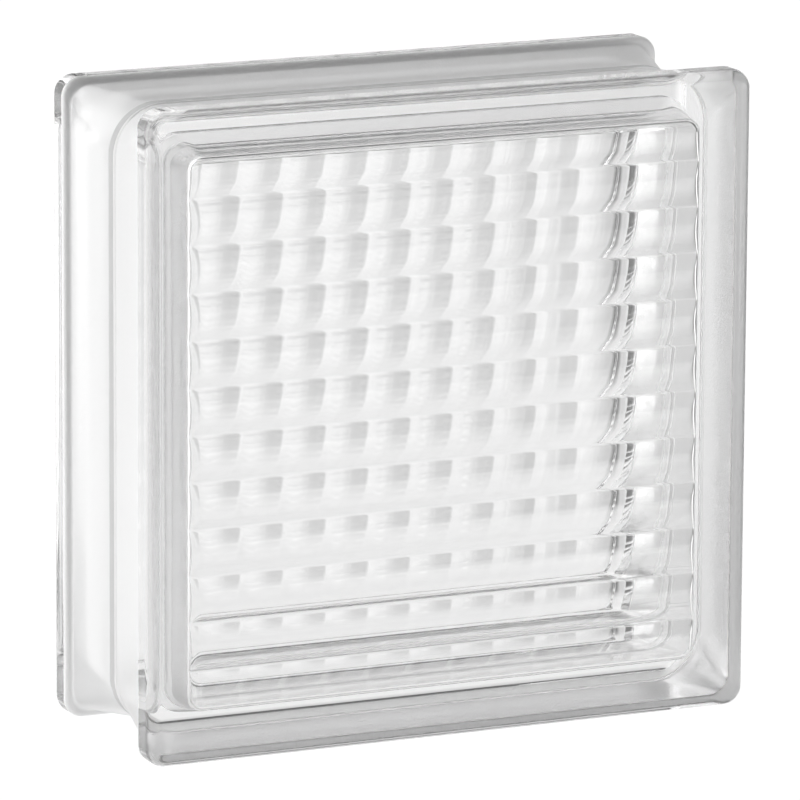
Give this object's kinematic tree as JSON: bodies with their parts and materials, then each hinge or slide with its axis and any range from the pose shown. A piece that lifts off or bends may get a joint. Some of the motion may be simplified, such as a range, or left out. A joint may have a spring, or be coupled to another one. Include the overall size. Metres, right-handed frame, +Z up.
{
  "type": "glass block",
  "caption": "Square hollow building block of clear pressed glass, with flat outer faces, rims around a shallow mortar channel, and crossed flutes inside its two panes.",
  "frame": {"origin": "centre of the bottom of the block, on the floor it stands on, in the plane of the fused seam", "axes": "+Z up, +X along the width, +Y through the block from the front face to the rear face"},
  "size_m": [0.197, 0.076, 0.197],
  "materials": {
    "clear_glass": "clear, smooth pressed glass, with a thin milky coating on the floor of the mortar channel"
  },
  "bodies": {
    "root": {"front_half": "clear_glass", "rear_half": "clear_glass"}
  },
  "joints": []
}
